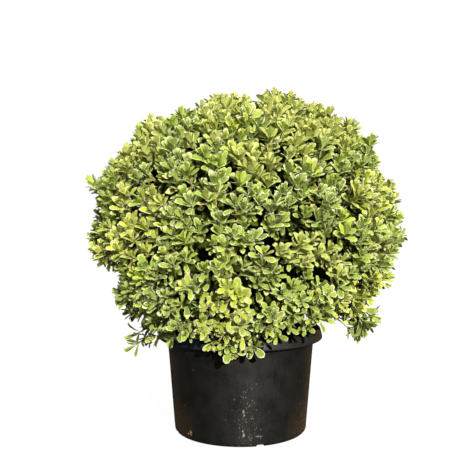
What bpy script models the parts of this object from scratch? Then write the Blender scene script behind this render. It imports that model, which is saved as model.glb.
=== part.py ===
"""Variegated pittosporum, a dense leafy ball on a short trunk, in a black nursery pot.

Metres, +Z up. The origin is the centre of the pot's flat underside. The camera side of the plant
faces -Y. The crown is split into masses, each of which keeps to its own sector of the ball.
"""

import math
import random

import bmesh
import bpy
from mathutils import Matrix, Vector

CLEARANCE = 0.0003  # gap between neighbouring solids
UP = Vector((0, 0, 1))
SEED = 11

# Pot: a blow-moulded tub with a flared, rolled rim and drain slots in its foot
POT_HEIGHT = 0.275
RIM_RADIUS = 0.216
RIM_ROUNDING = 0.018
NECK_RADIUS = 0.1915
NECK_HEIGHT = 0.2317
FOOT_RADIUS = 0.1745
FOOT_ROUNDING = 0.012
POT_WALL = 0.003
POT_SEGMENTS = 36
DRAIN_SLOTS = 4
DRAIN_WIDTH = 0.022
DRAIN_HEIGHT = 0.012
FIRST_DRAIN_AZIMUTH = math.radians(-73)

SOIL_TOP = 0.226

# Trunk: short, leaning a little, flared at the soil, ending at the fork
TRUNK_HEIGHT = 0.105
TRUNK_RADIUS = 0.0175
TRUNK_TOP_RADIUS = 0.0150
TRUNK_CROWN_RADIUS = 0.0108  # of the flat on the fork, which rounds its top off
TRUNK_LEAN = Vector((0.008, -0.004, 0))
TRUNK_RINGS = (0, 0.06, 0.16, 0.36, 0.66, 0.92, 1)  # shares of the height
TRUNK_SIDES = 12
ROOT_FLARE = 0.016
ROOT_FLARE_HEIGHT = 0.014
ROOT_LOBES = 4
ROOT_LOBE_DEPTH = 0.25

# Boughs: a leader, a primary for each middle mass, and two side boughs on each primary
BOUGH_SIDES = 6
BOUGH_RINGS = 5
PRIMARY_RADIUS = 0.0082
SECONDARY_RADIUS = 0.0052
BOUGH_TIP_RADIUS = 0.0048
LEADER_START = 0.85  # share of the trunk's height
PRIMARY_STARTS = (0.55, 0.80)  # shares of the trunk's height, by turns
PRIMARY_LEVEL_LEAD = 0.065
PRIMARY_RISE_LEAD = 0.045
SIDE_LEAD = 0.040
SIDE_FORWARD = 0.4  # how far a side bough leans along its primary as it leaves
TIP_LEAD = 0.055
SIDE_BOUGHS = (("low", 2), ("high", 3))  # ring of masses, ring of the primary where it leaves

# Crown: upper and lower halves of a squashed ball
CROWN_CENTRE = Vector((0.012, 0, 0.550))
CROWN_RADIUS = 0.430
CROWN_RISE = 0.350
CROWN_DROP = 0.318
UPPER_SQUARENESS = 2.15
LOWER_SQUARENESS = 3.1

# Lumps and dents of the outline: azimuth, elevation, height in metres, sharpness. Each lump is a shoot.
CROWN_LUMPS = (
    (180, 14, 0.016, 60),
    (180, -6, 0.014, 60),
    (184, 40, -0.026, 30),
    (180, -24, -0.018, 60),
    (186, -47, 0.066, 120),
    (0, -4, 0.018, 60),
    (0, 23, -0.026, 150),
    (0, 35, 0.012, 90),
    (0, -22, -0.018, 60),
    (354, -44, 0.044, 100),
    (40, 74, 0.014, 60),
    (262, -50, 0.024, 40),
    (95, -44, 0.020, 40),
    (48, 8, 0.010, 40),
    (128, -2, 0.012, 40),
)

# Masses: name, how many round the crown, elevation, azimuth of the first, rosettes in each
RINGS = (
    ("top", 1, 90, 0, 4),
    ("high", 6, 46, 33, 5),
    ("mid", 6, 6, 7, 6),
    ("low", 6, -38, 39, 5),
)
SPACE_MARGIN = 0.0012  # half the gap between two masses
WIDEST_SPACE = math.radians(75)

# Core of a mass, which its twigs and leaves stand out of
CORE_DEPTH = 0.084  # how far its middle lies under the leaf tips
CORE_HOLLOW = 0.54  # share of the reach that stays open for the boughs
CORE_SIDES = 10
CORE_EDGE = 0.014  # radians between a core's edge and the end of its space
CORE_RINGS = ((1.0, 0.012), (0.6, 0.004))  # share of the core's width, depth under its middle
STEM_LENGTH = 0.016
STEM_RADIUS = 0.0055

# Foliage: whorls of blunt, tapering leaves round the buds of the twigs
LEAF_LENGTH = 0.084
LEAF_WIDTH = 0.036
LEAF_THICKNESS = 0.0022
LEAF_WIDEST = 0.66  # share of the length
LEAF_SPINE = 0.5
LEAF_DROOP = 0.06
LEAF_SIZES = (0.90, 1.04)
LEAF_SUNK = 0.0035  # of the root, past the middle of its bud
WHORLS = ((4, 60, 1.0), (1, 12, 0.94))  # leaves, degrees from the twig, size
WHORL_TURN = 0.8
WHORL_STIR = 0.16
TILT_STIR = 8
BUD_DEPTH = 0.072  # of a bud's middle under the crown's outline
BUD_RADIUS = 0.0090
TWIG_RADII = (0.0044, 0.0034, 0.0027)
TWIG_SAG = 0.006
TWIG_BEND = 0.6
TWIG_SPREAD = 0.86  # share of the mass's width that its twigs cover
SHOOT_ROOM = math.radians(12)  # no other twig stands this near a shoot
LIFT = 0.16  # how far buds turn up towards the light, at the side of the crown
TOP_LIFT = 0.26  # and how much further towards its top
RIM_CLEARANCE = 0.004
RIM_TESTS = 6


def clear_scene():
    for obj in list(bpy.data.objects):
        bpy.data.objects.remove(obj)


def make_material(name, colour, roughness):
    material = bpy.data.materials.new(name)
    material.use_nodes = True
    shader = material.node_tree.nodes["Principled BSDF"]
    shader.inputs["Base Color"].default_value = (*colour, 1)
    shader.inputs["Roughness"].default_value = roughness
    shader.inputs["Metallic"].default_value = 0
    return material


def object_from(bm, name, material, smooth=False):
    """Turns the bmesh into a named object with outward normals."""
    bmesh.ops.recalc_face_normals(bm, faces=bm.faces)
    mesh = bpy.data.meshes.new(name)
    bm.to_mesh(mesh)
    bm.free()
    mesh.materials.append(material)
    if smooth:
        mesh.shade_smooth()
        mesh.set_sharp_from_angle(angle=math.radians(40))
    obj = bpy.data.objects.new(name, mesh)
    bpy.context.scene.collection.objects.link(obj)
    return obj


def arc(centre, radius, start, end, steps):
    """Points (radius, height) of an arc, in degrees."""
    found = []
    for step in range(steps + 1):
        angle = math.radians(start + (end - start) * step / steps)
        found.append((centre[0] + radius * math.cos(angle), centre[1] + radius * math.sin(angle)))
    return found


def pot_outline():
    """The pot's outer side, from the flat of its foot to the top of its lip."""
    foot_centre = (FOOT_RADIUS - FOOT_ROUNDING, FOOT_ROUNDING)
    rim_centre = (RIM_RADIUS - RIM_ROUNDING, POT_HEIGHT - RIM_ROUNDING)
    return (
        arc(foot_centre, FOOT_ROUNDING, -90, -4, 2)
        + [(NECK_RADIUS, NECK_HEIGHT)]
        + arc(rim_centre, RIM_ROUNDING, -55, 90, 4)
    )


def inset(outline, depth):
    """The outline moved towards the axis side by depth, square to each stretch."""
    moved = []
    for index, point in enumerate(outline):
        before = outline[max(index - 1, 0)]
        after = outline[min(index + 1, len(outline) - 1)]
        along = Vector((after[0] - before[0], after[1] - before[1])).normalized()
        moved.append((point[0] - along.y * depth, point[1] + along.x * depth))
    return moved


def lathe(name, outline, segments, material):
    """Spins an outline of (radius, height) points, closed on the axis at both ends."""
    bm = bmesh.new()
    points = [bm.verts.new((radius, 0, height)) for radius, height in outline]
    edges = [bm.edges.new(pair) for pair in zip(points, points[1:])]
    bmesh.ops.spin(
        bm,
        geom=points + edges,
        axis=UP,
        cent=(0, 0, 0),
        angle=2 * math.pi,
        steps=segments,
        use_merge=True,
    )
    bmesh.ops.remove_doubles(bm, verts=bm.verts, dist=1e-5)
    return object_from(bm, name, material, smooth=True)


def hide(cutter):
    cutter.hide_render = True
    cutter.display_type = "WIRE"


def cut(target, cutter):
    """Subtracts a helper, which stays in the scene as a hidden wireframe."""
    hide(cutter)
    modifier = target.modifiers.new("cut_" + cutter.name, "BOOLEAN")
    modifier.operation = "DIFFERENCE"
    modifier.object = cutter


def make_pot(material):
    outer = pot_outline()
    inner = inset(outer, POT_WALL)
    profile = [(0, 0)] + outer + inner[::-1] + [(0, inner[0][1])]
    pot = lathe("pot", profile, POT_SEGMENTS, material)
    for number in range(DRAIN_SLOTS):
        azimuth = FIRST_DRAIN_AZIMUTH + number * 2 * math.pi / DRAIN_SLOTS
        bm = bmesh.new()
        size = Matrix.Diagonal((FOOT_ROUNDING * 4, DRAIN_WIDTH, DRAIN_HEIGHT * 2, 1))
        place = Matrix.Rotation(azimuth, 4, "Z") @ Matrix.Translation((FOOT_RADIUS, 0, 0))
        bmesh.ops.create_cube(bm, size=1, matrix=place @ size)
        cut(pot, object_from(bm, f"drain_cutter_{number + 1}", material))


def make_soil(material):
    """The root ball: it fills the pot up to SOIL_TOP, just clear of the wall."""
    wall = inset(pot_outline(), POT_WALL + CLEARANCE)
    side = [point for point in wall if point[1] < SOIL_TOP]
    low, high = side[-1], wall[len(side)]
    share = (SOIL_TOP - low[1]) / (high[1] - low[1])
    edge = (low[0] + share * (high[0] - low[0]), SOIL_TOP)
    return lathe("soil", [(0, side[0][1])] + side + [edge, (0, SOIL_TOP)], POT_SEGMENTS, material)


def direction_of(azimuth, elevation):
    """Unit vector at these degrees; azimuth 0 is +X and 270 faces the camera."""
    a, e = math.radians(azimuth), math.radians(elevation)
    return Vector((math.cos(a) * math.cos(e), math.sin(a) * math.cos(e), math.sin(e)))


def crown_reach(direction):
    """Distance from the crown's centre to its outline of leaf tips."""
    level = math.hypot(direction.x, direction.y)
    upper = direction.z >= 0
    height = CROWN_RISE if upper else CROWN_DROP
    power = UPPER_SQUARENESS if upper else LOWER_SQUARENESS
    ball = ((level / CROWN_RADIUS) ** power + (abs(direction.z) / height) ** power) ** (-1 / power)
    for azimuth, elevation, swell, sharpness in CROWN_LUMPS:
        ball += swell * math.exp(sharpness * (direction.dot(direction_of(azimuth, elevation)) - 1))
    return ball


def mass_sites():
    """(name, direction, rosettes) for each mass of the crown."""
    sites = []
    for ring, count, elevation, first, rosettes in RINGS:
        for number in range(count):
            name = f"foliage_{ring}" if count == 1 else f"foliage_{ring}_{number + 1}"
            sites.append((name, direction_of(first + number * 360 / count, elevation), rosettes))
    return sites


def space_walls(direction, sites):
    """Normals of the planes through the crown's centre that bound a mass. The last is the open underside."""
    others = [site[1] for site in sites] + [-UP]
    return [(direction - other).normalized() for other in others if (direction - other).length > 1e-6]


def in_space(points, walls):
    return all((p - CROWN_CENTRE).dot(wall) > SPACE_MARGIN for p in points for wall in walls)


def clear_of_pot(start, end):
    """True if the stretch from start to end stays off the pot's rim and inside."""
    for step in range(RIM_TESTS + 1):
        point = start.lerp(end, step / RIM_TESTS)
        level = math.hypot(point.x, point.y)
        if point.z < POT_HEIGHT + RIM_CLEARANCE and level < RIM_RADIUS + RIM_CLEARANCE:
            return False
    return True


def frame_round(axis):
    """Two unit vectors square to the axis."""
    side = axis.cross(UP if abs(axis.z) < 0.9 else Vector((1, 0, 0))).normalized()
    return side, axis.cross(side)


def widest_angle(direction, across, walls):
    """Angle from direction, turning towards across, at which the mass's space ends."""
    widest = WIDEST_SPACE
    for wall in walls:
        towards = across.dot(wall)
        if towards < -1e-6:
            widest = min(widest, math.atan(direction.dot(wall) / -towards))
    return widest


def turned(direction, across, angle):
    return direction * math.cos(angle) + across * math.sin(angle)


def tube(bm, points, radii, sides, end_along=None):
    """A closed tapering tube through the points, square to its run and, at its end, to end_along."""
    side, other = frame_round((points[1] - points[0]).normalized())
    rings = []
    for index, (point, radius) in enumerate(zip(points, radii)):
        along = (points[min(index + 1, len(points) - 1)] - points[max(index - 1, 0)]).normalized()
        if end_along and index == len(points) - 1:
            along = end_along
        side = (side - along * side.dot(along)).normalized()
        other = along.cross(side)
        ring = []
        for corner in range(sides):
            angle = 2 * math.pi * corner / sides
            ring.append(bm.verts.new(point + radius * (side * math.cos(angle) + other * math.sin(angle))))
        rings.append(ring)
    bridge(bm, rings)
    bm.faces.new(rings[0])
    bm.faces.new(rings[-1])


def bridge(bm, rings):
    """Skins each ring of vertices to the next."""
    loops = []
    for ring in rings:
        pairs = zip(ring, ring[1:] + ring[:1])
        loops.append([bm.edges.new(pair) for pair in pairs])
    for low, high in zip(loops, loops[1:]):
        bmesh.ops.bridge_loops(bm, edges=low + high)


def bezier(start, lead_out, lead_in, end, steps):
    """Points of the cubic from start to end with these two handles."""
    found = []
    for step in range(steps):
        t = step / (steps - 1)
        s = 1 - t
        found.append(s**3 * start + 3 * s * s * t * lead_out + 3 * s * t * t * lead_in + t**3 * end)
    return found


def make_bough(name, path, radii, direction, material):
    """A tapering limb whose end faces the stem of its mass, in this direction."""
    bm = bmesh.new()
    tube(bm, path, radii, BOUGH_SIDES, end_along=direction)
    return object_from(bm, name, material, smooth=True)


def trunk_axis(share):
    """A point of the trunk's centre line, from the soil at 0 to the fork at 1."""
    rise = Vector((0, 0, SOIL_TOP + CLEARANCE + TRUNK_HEIGHT * share))
    return rise + TRUNK_LEAN * share**2


def make_trunk(name, material, extra=0.0):
    """The trunk with its lobed root flare; extra fattens the copy that the boughs are cut by."""
    bm = bmesh.new()
    rings = []
    for share in TRUNK_RINGS:
        flare = ROOT_FLARE * math.exp(-share * TRUNK_HEIGHT / ROOT_FLARE_HEIGHT)
        radius = TRUNK_RADIUS + (TRUNK_TOP_RADIUS - TRUNK_RADIUS) * share
        top = share == TRUNK_RINGS[-1]
        if top:
            radius = TRUNK_CROWN_RADIUS
        centre = trunk_axis(share) + UP * (extra if top else 0)
        ring = []
        for corner in range(TRUNK_SIDES):
            angle = 2 * math.pi * corner / TRUNK_SIDES
            lobe = flare * (1 - ROOT_LOBE_DEPTH + ROOT_LOBE_DEPTH * math.cos(ROOT_LOBES * angle))
            outward = Vector((math.cos(angle), math.sin(angle), 0))
            ring.append(bm.verts.new(centre + outward * (radius + lobe + extra)))
        rings.append(ring)
    bridge(bm, rings)
    bm.faces.new(rings[0])
    bm.faces.new(rings[-1])
    return object_from(bm, name, material, smooth=True)


def core_start(direction):
    """Distance from the crown's centre to the inner face of the core."""
    return crown_reach(direction) * CORE_HOLLOW


def bough_tip(direction):
    """Where the bough of the mass in this direction ends, facing the mass's stem."""
    return CROWN_CENTRE + direction * (core_start(direction) - STEM_LENGTH - CLEARANCE)


def tapering(start, end):
    return [start + (end - start) * ring / (BOUGH_RINGS - 1) for ring in range(BOUGH_RINGS)]


def primary_path(start, direction):
    """From the trunk outwards, then up into the mass that lies in this direction."""
    level = Vector((direction.x, direction.y, 0)).normalized()
    lead = start + level * PRIMARY_LEVEL_LEAD + UP * PRIMARY_RISE_LEAD
    tip = bough_tip(direction)
    return bezier(start, lead, tip - direction * TIP_LEAD, tip, BOUGH_RINGS)


def side_path(primary, where, direction):
    """From this ring of a primary's path into the mass that lies in this direction."""
    start = primary[where]
    tip = bough_tip(direction)
    onward = (primary[where + 1] - start).normalized()
    away = tip - start
    away = (away - onward * away.dot(onward)).normalized()
    lead = start + (onward * SIDE_FORWARD + away).normalized() * SIDE_LEAD
    return bezier(start, lead, tip - direction * TIP_LEAD, tip, BOUGH_RINGS)


def make_boughs(sites, material):
    """A leader, a primary for each middle mass, and the side boughs of each primary."""
    trunk_cutter = make_trunk("trunk_cutter", material, extra=CLEARANCE)
    hide(trunk_cutter)
    directions = {name: direction for name, direction, _ in sites}
    primary_radii = tapering(PRIMARY_RADIUS, BOUGH_TIP_RADIUS)
    cutter_radii = [radius + CLEARANCE for radius in primary_radii]
    side_radii = tapering(SECONDARY_RADIUS, BOUGH_TIP_RADIUS)

    start = trunk_axis(LEADER_START)
    tip = bough_tip(UP)
    path = bezier(start, start + UP * TIP_LEAD, tip - UP * TIP_LEAD, tip, BOUGH_RINGS)
    cut(make_bough("bough_leader", path, primary_radii, UP, material), trunk_cutter)

    mids = [name for name in directions if "_mid_" in name]
    for number, mass_name in enumerate(mids, 1):
        direction = directions[mass_name]
        start = trunk_axis(PRIMARY_STARTS[number % len(PRIMARY_STARTS)])
        path = primary_path(start, direction)
        cut(make_bough(f"bough_mid_{number}", path, primary_radii, direction, material), trunk_cutter)
        cutter = make_bough(f"cutter_mid_{number}", path, cutter_radii, direction, material)
        for ring, where in SIDE_BOUGHS:
            direction = directions[f"foliage_{ring}_{number}"]
            side = side_path(path, where, direction)
            cut(make_bough(f"bough_{ring}_{number}", side, side_radii, direction, material), cutter)


def leaf_outline(root, along, normal, size):
    """Root, side, tip and side of a kite-shaped leaf, widest two thirds of the way out."""
    length = LEAF_LENGTH * size
    middle = root + along * length * LEAF_WIDEST
    half = along.cross(normal) * LEAF_WIDTH * size / 2
    tip = root + along * length - normal * length * LEAF_DROOP
    return [root, middle + half, tip, middle - half]


def leaf_bmesh(outline, along, normal, size):
    """The eight-faced leaf of this outline, thickest at its spine."""
    bm = bmesh.new()
    spine = outline[0] + along * LEAF_LENGTH * size * LEAF_SPINE
    corners = [bm.verts.new(point) for point in outline]
    for side in (1, -1):
        ridge = bm.verts.new(spine + normal * side * LEAF_THICKNESS / 2)
        for corner, after in zip(corners, corners[1:] + corners[:1]):
            bm.faces.new((corner, after, ridge))
    return bm


def core_bmesh(direction, walls):
    """The mass's inner core: a sector of the ball, domed outside, under the leaves."""
    bm = bmesh.new()
    side, other = frame_round(direction)
    inner = []
    domes = [[] for _ in CORE_RINGS]
    for corner in range(CORE_SIDES):
        turn = 2 * math.pi * corner / CORE_SIDES
        across = side * math.cos(turn) + other * math.sin(turn)
        widest = widest_angle(direction, across, walls) - CORE_EDGE
        edge = turned(direction, across, widest)
        inner.append(bm.verts.new(CROWN_CENTRE + edge * core_start(edge)))
        for dome, (share, sink) in zip(domes, CORE_RINGS):
            outward = turned(direction, across, widest * share)
            reach = crown_reach(outward) - CORE_DEPTH - sink
            dome.append(bm.verts.new(CROWN_CENTRE + outward * reach))
    bridge(bm, [inner] + domes)
    inner_middle = bm.verts.new(CROWN_CENTRE + direction * core_start(direction))
    outer_middle = bm.verts.new(CROWN_CENTRE + direction * (crown_reach(direction) - CORE_DEPTH))
    for ring, middle in ((inner, inner_middle), (domes[-1], outer_middle)):
        for corner, after in zip(ring, ring[1:] + ring[:1]):
            bm.faces.new((corner, after, middle))
    return bm


def stem_bmesh(direction, hub):
    """The stem by which the mass stands on its bough, up to the hub where its twigs part."""
    bm = bmesh.new()
    core_face = CROWN_CENTRE + direction * core_start(direction)
    path = [core_face - direction * STEM_LENGTH, core_face, hub]
    tube(bm, path, (BOUGH_TIP_RADIUS, STEM_RADIUS, STEM_RADIUS), BOUGH_SIDES)
    return bm


def rosette_sites(direction, walls, count, rng):
    """Directions of a mass's twigs: its shoots, and the rest spread evenly by the sunflower rule."""
    side, other = frame_round(direction)
    phase = rng.uniform(0, 2 * math.pi)
    golden = math.pi * (3 - math.sqrt(5))
    ways = []
    for number in range(count):
        turn = phase + number * golden
        across = side * math.cos(turn) + other * math.sin(turn)
        share = math.sqrt((number + 0.25) / count) * TWIG_SPREAD
        ways.append(turned(direction, across, widest_angle(direction, across, walls) * share))
    shoots = [direction_of(azimuth, elevation) for azimuth, elevation, swell, _ in CROWN_LUMPS if swell > 0]
    shoots = [shoot for shoot in shoots if in_space([CROWN_CENTRE + shoot], walls)]
    nearest = math.cos(SHOOT_ROOM)
    return shoots + [way for way in ways if all(way.dot(shoot) < nearest for shoot in shoots)]


def twig_bmesh(hub, bud):
    bm = bmesh.new()
    bend = hub.lerp(bud, TWIG_BEND) - UP * TWIG_SAG
    tube(bm, [hub, bend, bud], TWIG_RADII, 3)
    return bm


def bud_bmesh(centre, axis):
    """An eight-faced bud, which holds the roots of the leaves."""
    bm = bmesh.new()
    side, other = frame_round(axis)
    girdle = [bm.verts.new(centre + out * BUD_RADIUS) for out in (side, other, -side, -other)]
    for pole in (axis, -axis):
        point = bm.verts.new(centre + pole * BUD_RADIUS)
        for corner, after in zip(girdle, girdle[1:] + girdle[:1]):
            bm.faces.new((corner, after, point))
    return bm


def whorl_bmeshes(centre, axis, walls, rng):
    """The leaves round a bud, apart from those that would leave the space or touch the pot."""
    side, other = frame_round(axis)
    phase = rng.uniform(0, 2 * math.pi)
    leaves = []
    for number, (count, tilt, share) in enumerate(WHORLS):
        for index in range(count):
            stir = rng.uniform(-WHORL_STIR, WHORL_STIR)
            angle = phase + number * WHORL_TURN + 2 * math.pi * index / count + stir
            spread = math.radians(tilt + rng.uniform(-TILT_STIR, TILT_STIR))
            size = share * rng.uniform(*LEAF_SIZES)
            out = side * math.cos(angle) + other * math.sin(angle)
            along = turned(axis, out, spread)
            normal = (axis - along * axis.dot(along)).normalized()
            outline = leaf_outline(centre - along * LEAF_SUNK, along, normal, size)
            edges = zip(outline, outline[1:] + outline[:1])
            if in_space(outline, walls) and all(clear_of_pot(*edge) for edge in edges):
                leaves.append(leaf_bmesh(outline, along, normal, size))
    return leaves


def rosette_bmeshes(outward, hub, walls, rng):
    """A twig, its bud and its leaves, or nothing where the twig would leave the space."""
    bud = CROWN_CENTRE + outward * (crown_reach(outward) - BUD_DEPTH)
    if not in_space([bud + outward * BUD_RADIUS], walls) or not clear_of_pot(hub, bud):
        return []
    axis = (outward + UP * (LIFT + TOP_LIFT * max(outward.z, 0))).normalized()
    return [twig_bmesh(hub, bud), bud_bmesh(bud, axis)] + whorl_bmeshes(bud, axis, walls, rng)


def largest_body(mesh):
    """Drops loose scraps that the union left beside the mass."""
    bm = bmesh.new()
    bm.from_mesh(mesh)
    left = set(bm.verts)
    bodies = []
    while left:
        found, edge = set(), [left.pop()]
        while edge:
            vertex = edge.pop()
            found.add(vertex)
            for link in vertex.link_edges:
                other = link.other_vert(vertex)
                if other in left:
                    left.remove(other)
                    edge.append(other)
        bodies.append(found)
    keep = max(bodies, key=len)
    bmesh.ops.delete(bm, geom=[v for body in bodies if body is not keep for v in body], context="VERTS")
    bm.to_mesh(mesh)
    bm.free()


def join(target, parts, material):
    """Unites the target and the closed bmeshes into one body, with one union on a collection."""
    helpers = bpy.data.collections.new(target.name + "_parts")
    bpy.context.scene.collection.children.link(helpers)
    for number, part in enumerate(parts):
        helper = object_from(part, f"{target.name}_part_{number}", material)
        bpy.context.scene.collection.objects.unlink(helper)
        helpers.objects.link(helper)
    union = target.modifiers.new("union", "BOOLEAN")
    union.operation = "UNION"
    union.operand_type = "COLLECTION"
    union.collection = helpers
    graph = bpy.context.evaluated_depsgraph_get()
    joined = bpy.data.meshes.new_from_object(target.evaluated_get(graph))
    target.modifiers.clear()
    target.data = joined
    for helper in list(helpers.objects):
        bpy.data.objects.remove(helper)
    bpy.data.collections.remove(helpers)
    largest_body(target.data)


def make_mass(name, direction, rosettes, sites, material):
    """One mass of foliage: its stem, core, twigs and leaves as one closed body."""
    rng = random.Random(f"{name}{SEED}")
    walls = space_walls(direction, sites)
    hub = CROWN_CENTRE + direction * (core_start(direction) + crown_reach(direction) - CORE_DEPTH) / 2
    parts = [stem_bmesh(direction, hub)]
    for outward in rosette_sites(direction, walls, rosettes, rng):
        parts += rosette_bmeshes(outward, hub, walls, rng)
    mass = object_from(core_bmesh(direction, walls), name, material)
    join(mass, parts, material)


def main():
    clear_scene()
    plastic = make_material("black_plastic", (0.020, 0.019, 0.017), 0.45)
    mix = make_material("potting_mix", (0.055, 0.035, 0.022), 0.95)
    bark = make_material("grey_brown_bark", (0.190, 0.150, 0.110), 0.85)
    leaves = make_material("variegated_leaves", (0.330, 0.420, 0.110), 0.45)
    make_pot(plastic)
    make_soil(mix)
    make_trunk("trunk", bark)
    sites = mass_sites()
    make_boughs(sites, bark)
    for name, direction, rosettes in sites:
        make_mass(name, direction, rosettes, sites, leaves)


main()
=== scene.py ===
"""Looks of a variegated pittosporum, a dense ball of cream-edged leaves in a black nursery pot.

Metres, in the CAD model's frame: +Z up, the origin at the centre of the pot's flat underside, the
camera side facing -Y. The crown grows by the rule of the model's source: masses round the crown's
centre, coarse twigs spread over each by the sunflower rule, and whorls of leaves on them. Here fine
twigs follow, spread by the same rule round the whole ball, with whorls of leaves of life size.
"""

import math
import zlib

import bpy
import numpy as np
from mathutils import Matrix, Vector, noise

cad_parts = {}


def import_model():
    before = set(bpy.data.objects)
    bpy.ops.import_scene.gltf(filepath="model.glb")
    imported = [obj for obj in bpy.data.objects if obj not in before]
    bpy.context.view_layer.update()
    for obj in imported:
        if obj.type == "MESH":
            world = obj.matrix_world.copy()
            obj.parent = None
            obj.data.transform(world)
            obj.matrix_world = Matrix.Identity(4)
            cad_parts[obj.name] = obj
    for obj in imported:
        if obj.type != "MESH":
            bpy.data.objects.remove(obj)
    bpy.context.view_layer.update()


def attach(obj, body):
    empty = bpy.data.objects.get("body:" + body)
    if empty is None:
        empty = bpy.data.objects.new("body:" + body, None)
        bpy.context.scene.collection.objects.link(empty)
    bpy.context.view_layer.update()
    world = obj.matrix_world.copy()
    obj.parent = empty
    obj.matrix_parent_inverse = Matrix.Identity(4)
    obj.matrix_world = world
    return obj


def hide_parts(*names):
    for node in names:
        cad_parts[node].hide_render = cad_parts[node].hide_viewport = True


UP = np.array((0.0, 0.0, 1.0))
RIGHT = np.array((1.0, 0.0, 0.0))
FORWARD = np.array((0.0, 1.0, 0.0))
STEEP = 0.9  # rise from which an axis counts as upright
TINY = 1e-6
TURN = 2 * math.pi
GOLDEN_ANGLE = math.pi * (3 - math.sqrt(5))
SEED = 11

# Camera and light
CAMERA_PLACE = (-0.0094, -2.2, 0.65)
CAMERA_PITCH = math.radians(3.6)
CAMERA_LENS = 63.5
TO_CAMERA = 270  # azimuth
# Lamps: name, degrees to the right of the camera, elevation, strength, size in degrees, gloss
LAMPS = (
    ("front_key", 16, 20.5, 5.02, 1.8, True),
    ("high_fill", 8, 62, 1.35, 15, False),
    ("left_fill", -62, 20, 0.90, 12, False),
    ("right_fill", 78, 32, 1.10, 12, False),
    ("back_fill", 168, 42, 2.20, 12, False),
)
LAMP_COLOUR = (1.0, 0.985, 0.93)
AMBIENT = 0.085
AMBIENT_COLOUR = (1.0, 1.0, 0.84, 1)
STAGE_RADIUS = 14
FLOOR_DROP = 0.0004
FLOOR_TONE = (0.07, 0.94)  # colour and glow
BACKDROP_TONE = (0.0, 1.0)

# Pot: the CAD model's outline, with a flat underside and a tight lip on the collar
POT_HEIGHT = 0.275
RIM_RADIUS = 0.216
WALL_TOP = (0.1928, 0.2448)  # radius and height of the wall where it meets the collar
SHELF_CORNER = ((0.1936, 0.2466), (0.1958, 0.2475))  # and of the corner between them
COLLAR_FOOT = (0.2476, 0.0035)  # height of the collar's underside, rounding of its edge
COLLAR_STEPS = (6, 8)  # of the arcs of that edge and of the lip
LIP_CENTRE = (0.2045, 0.2680)
COLLAR_LEAN = 18  # degrees by which the collar's face looks up
FOOT_RADIUS = 0.1745
FOOT_ROUNDING = 0.012
FOOT_ARC = (-90, -4, 8)  # first and last degrees, and steps
POT_WALL = 0.003
POT_SEGMENTS = 160
BODY_ROWS = 12
DRAIN_SLOTS = 4
DRAIN_WIDTH = 0.022
DRAIN_HEIGHT = 0.012
FIRST_DRAIN_AZIMUTH = math.radians(-73)
DENT_DEPTH = 0.0006  # unevenness of the blow-moulded wall
DENT_SCALE = 9
DENTED = (0.1, 0.02)  # radius and height that it starts from
AXIS_GAP = 0.0004  # round the pot's axis, and between the mix and the wall
POT_CREASE = math.radians(45)
# Marks on the wall: azimuth from the front, height, half their width (angle) and height, and colour
DRIED_DROP = (0.360, 0.355, 0.320)
CLAY = (0.400, 0.255, 0.145)
SCUFF = (0.002, 0.002, 0.002)
MARKS = (
    (0.036, 0.0925, 0.013, 0.0060, DRIED_DROP),
    (0.045, 0.0840, 0.008, 0.0030, DRIED_DROP),
    (0.040, 0.0335, 0.014, 0.0058, DRIED_DROP),
    (0.028, 0.0430, 0.008, 0.0030, DRIED_DROP),
    (0.262, 0.0290, 0.055, 0.0013, DRIED_DROP),
    (-0.800, 0.0235, 0.026, 0.0075, CLAY),
    (-0.860, 0.0190, 0.020, 0.0035, CLAY),
    (-0.735, 0.0190, 0.024, 0.0085, SCUFF),
    (-0.740, 0.0190, 0.016, 0.0075, SCUFF),
)

# Colours of the pot, the mix and the bark
POT_BLACK = (0.020, 0.019, 0.017)
POT_BLACKS = ((0.0036, 0.0034, 0.0030), (0.0066, 0.0061, 0.0052))
# Thin dust, and painted light that makes the front paler towards the lamp
WALL_DUST_AND_LIGHT = (0.100, 0.098, 0.084)
# Dust, and painted light on the collar's lit right side
COLLAR_DUST_AND_LIGHT = (0.100, 0.098, 0.088)
# Painted bluish reflection of the sky on the collar's left
PAINTED_SKY_REFLECTION = (0.009, 0.018, 0.028)
STREAK_DUST = (0.105, 0.101, 0.088)
SPECK = (0.330, 0.325, 0.290)
# Brown grime, and a painted reflection of brown surroundings round the sides
GRIME_AND_REFLECTION = (0.085, 0.048, 0.021)
MIX = (0.055, 0.035, 0.022)
MIX_TONES = ((0.018, 0.011, 0.007), (0.095, 0.060, 0.036))
DAMP_MIX = (0.040, 0.024, 0.014)
BARK = (0.190, 0.150, 0.110)
BARK_TONES = ((0.120, 0.088, 0.060), (0.300, 0.250, 0.190))
BARK_CRACK = (0.070, 0.050, 0.034)
OLD_TWIG = (0.210, 0.155, 0.105)
YOUNG_TWIG = (0.400, 0.350, 0.190)

# Potting mix
SOIL_TOP = 0.226
SOIL_RINGS = 26
SOIL_SIDES = 96
INNERMOST_RING = 0.004
SOIL_RELIEF = 0.004
SOIL_GRAIN = 60
SOIL_LEVEL = 0.3
CHIPS = 700
CHIP_LENGTH = (0.006, 0.019)
CHIP_WIDTH = (0.3, 0.7)  # share of the length
CHIP_THICKNESS = (0.10, 0.3)
CHIP_STIR = (0.7, 1.15)  # of each corner
CHIP_TILT = 0.30
CHIP_REACH = (0.03, 0.94)  # square of the share of the mix's radius
CHIP_HEIGHT = (-0.001, 0.003)
CHIP_CREASE = math.radians(50)
CHIP_COLOURS = (
    ("dark", (0.045, 0.026, 0.015)),
    ("brown", (0.110, 0.062, 0.034)),
    ("grey", (0.150, 0.115, 0.085)),
)

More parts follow.
